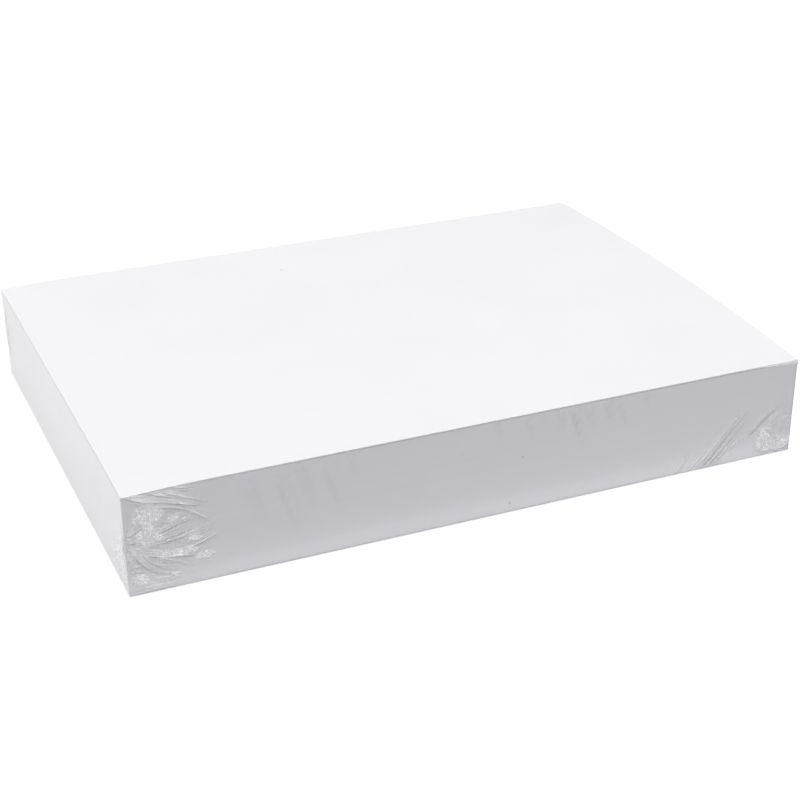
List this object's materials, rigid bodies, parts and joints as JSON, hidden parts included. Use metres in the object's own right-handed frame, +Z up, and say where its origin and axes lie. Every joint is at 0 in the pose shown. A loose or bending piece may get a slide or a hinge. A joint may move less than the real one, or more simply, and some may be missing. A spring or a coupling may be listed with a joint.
{
  "type": "pack of drawing paper",
  "caption": "Flat shrink-wrapped pack of white drawing paper: a squared-up stack of sheets sealed in clear film that is gathered at its corners.",
  "frame": {"origin": "middle of the pack's footprint, on the surface that it lies on", "axes": "+X along the long sides towards the arched end, +Y across the pack away from the side without a seal, +Z up out of the top sheet"},
  "size_m": [0.4235, 0.2998, 0.0669],
  "materials": {
    "paper": "matte",
    "film": "gloss"
  },
  "bodies": {
    "root": {"paper_stack": "paper", "shrink_film": "film"}
  },
  "joints": []
}
